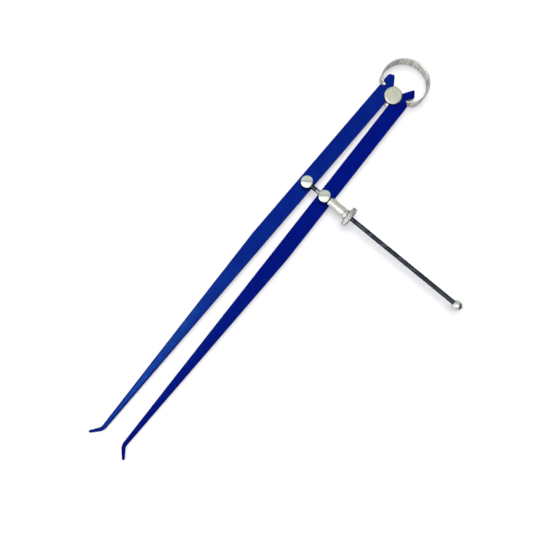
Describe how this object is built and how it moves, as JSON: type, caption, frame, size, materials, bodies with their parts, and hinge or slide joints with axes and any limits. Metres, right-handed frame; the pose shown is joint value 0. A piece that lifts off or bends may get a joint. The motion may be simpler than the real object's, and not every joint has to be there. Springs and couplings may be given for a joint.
{
  "type": "spring inside caliper",
  "caption": "Bow-spring inside caliper with two blade legs, out-turned feet, and a screw with a split knurled nut that sets the opening.",
  "frame": {"origin": "centre of the rear fulcrum disc's outer face, on the axis that both legs turn about", "axes": "+Y from the feet towards the bow, +X towards the free end of the adjusting screw, +Z out of the front face, towards the screw's side of the legs"},
  "size_m": [0.1398, 0.3288, 0.0185],
  "materials": {
    "leg_paint": "glossy royal blue enamel over forged and ground steel",
    "fulcrum_nickel": "satin nickel plate, turned face",
    "bow_nickel": "nickel plated spring steel, brushed across the strip",
    "bright_nickel": "polished nickel plate",
    "plain_steel": "bright turned steel",
    "black_steel": "oil-blackened steel, cut thread"
  },
  "bodies": {
    "fulcrum": {"fulcrum_stud": "fulcrum_nickel", "fulcrum_cap": "fulcrum_nickel"},
    "left_leg": {"left_leg": "leg_paint"},
    "right_leg": {"right_leg": "leg_paint"},
    "bow": {"bow_spring": "bow_nickel"},
    "anchor": {"anchor_post": "bright_nickel", "anchor_post_washer": "plain_steel", "adjusting_screw": "black_steel", "screw_end_ball": "bright_nickel"},
    "guide": {"guide_post": "bright_nickel", "guide_post_washer": "plain_steel"},
    "sleeve": {"nut_sleeve": "bright_nickel"},
    "nut": {"knurled_nut": "bright_nickel", "nut_jaw_upper": "plain_steel", "nut_jaw_lower": "plain_steel", "nut_jaw_ring": "plain_steel"}
  },
  "joints": [
    {"name": "right_leg_hinge", "type": "hinge", "parent": "fulcrum", "child": "right_leg", "pos_m": [0, 0, 0.00505], "axis": [0, 0, 1], "range_deg": [-1.2, 30]},
    {"name": "left_leg_hinge", "type": "hinge", "parent": "fulcrum", "child": "left_leg", "pos_m": [0, 0, 0.00505], "axis": [0, 0, 1], "range_deg": [-30.1, 1.3]},
    {"name": "bow_rise", "type": "slide", "parent": "fulcrum", "child": "bow", "axis": [0, 1, 0], "range_m": [-0.0002, 0.0047]},
    {"name": "anchor_swivel", "type": "hinge", "parent": "left_leg", "child": "anchor", "pos_m": [-0.00746, -0.08106, 0.00505], "axis": [0, 0, 1], "range_deg": [-1.3, 30.1]},
    {"name": "guide_swivel", "type": "hinge", "parent": "right_leg", "child": "guide", "pos_m": [0.00746, -0.08106, 0.00505], "axis": [0, 0, 1], "range_deg": [-30.1, 1.3]},
    {"name": "nut_slide", "type": "slide", "parent": "guide", "child": "sleeve", "axis": [1, 0, 0], "range_m": [0, 0.005]},
    {"name": "nut_spin", "type": "hinge", "parent": "sleeve", "child": "nut", "pos_m": [0.0285, -0.08106, 0.01125], "axis": [1, 0, 0], "continuous": true}
  ],
  "couplings": [
    {"joint": "left_leg_hinge", "follows": "right_leg_hinge", "ratio": -1},
    {"joint": "bow_rise", "follows": "right_leg_hinge", "m_per_rad": 0.00879},
    {"joint": "anchor_swivel", "follows": "right_leg_hinge", "ratio": 1},
    {"joint": "guide_swivel", "follows": "right_leg_hinge", "ratio": -1}
  ]
}
